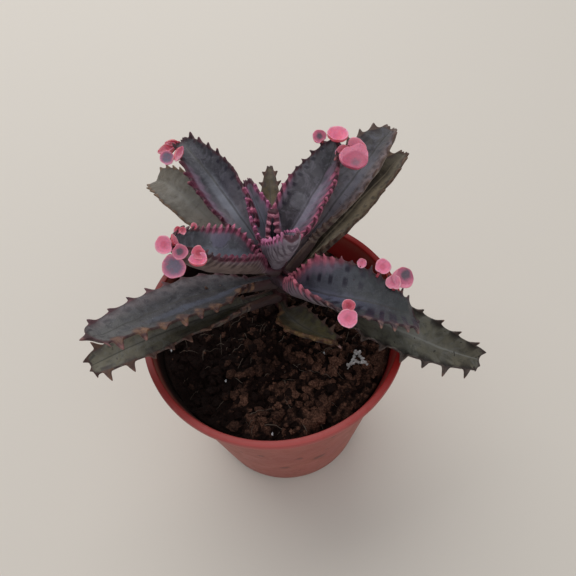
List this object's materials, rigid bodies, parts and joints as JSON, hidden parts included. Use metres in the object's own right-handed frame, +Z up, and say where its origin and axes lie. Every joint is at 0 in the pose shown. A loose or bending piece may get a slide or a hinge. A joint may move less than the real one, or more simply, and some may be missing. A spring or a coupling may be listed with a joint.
{
  "type": "potted pink butterflies kalanchoe",
  "caption": "Young potted succulent: folded toothed leaves in opposite pairs on a short stem, pink plantlets along their margins, in a small tapered plastic pot of soil.",
  "frame": {"origin": "centre of the pot's flat foot, on the surface it stands on", "axes": "+Z up the pot's axis, -Y towards the front of the plant, +X to its right seen from the front"},
  "size_m": [0.0912, 0.0789, 0.0967],
  "materials": {
    "pot": "thin moulded terracotta-red plastic with a satin lip and soil dust on its wall",
    "soil": "damp dark peat with brown chunks and fibres",
    "stem": "smooth purple-brown stem",
    "old_leaf": "dull olive grey leaf with brown teeth",
    "middle_leaf": "waxy slate grey leaf with dark stripes at the margins",
    "young_leaf": "waxy slate purple leaf with pink margins and teeth",
    "plantlet": "soft waxy pink with paler rims",
    "grit": "dry pale crumb"
  },
  "bodies": {
    "root": {"pot": "pot", "soil": "soil", "stem": "stem", "leaf_old_left": "old_leaf", "leaf_old_back_left": "old_leaf", "leaf_old_back_right": "old_leaf", "leaf_old_front_right": "old_leaf", "leaf_small_back": "old_leaf", "leaf_small_front": "old_leaf", "leaf_middle_left": "middle_leaf", "leaf_middle_back_right": "middle_leaf", "leaf_young_left": "young_leaf", "leaf_young_back_left": "young_leaf", "leaf_young_back_right": "young_leaf", "leaf_young_front_right": "young_leaf", "leaf_bud_back": "young_leaf", "leaf_bud_front": "young_leaf", "leaf_bud_centre": "young_leaf", "plantlet_front_right_stalked": "plantlet", "plantlet_front_right_middle": "plantlet", "plantlet_front_right_far": "plantlet", "plantlet_front_right_near": "plantlet", "plantlet_left_outer": "plantlet", "plantlet_left_middle": "plantlet", "plantlet_left_large": "plantlet", "plantlet_left_inner": "plantlet", "plantlet_left_back": "plantlet", "plantlet_left_far": "plantlet", "plantlet_back_left_low": "plantlet", "plantlet_back_left_upright": "plantlet", "plantlet_back_left_tip": "plantlet", "plantlet_back_right_left": "plantlet", "plantlet_back_right_top": "plantlet", "plantlet_back_right_large": "plantlet", "grit_crumb": "grit"}
  },
  "joints": []
}
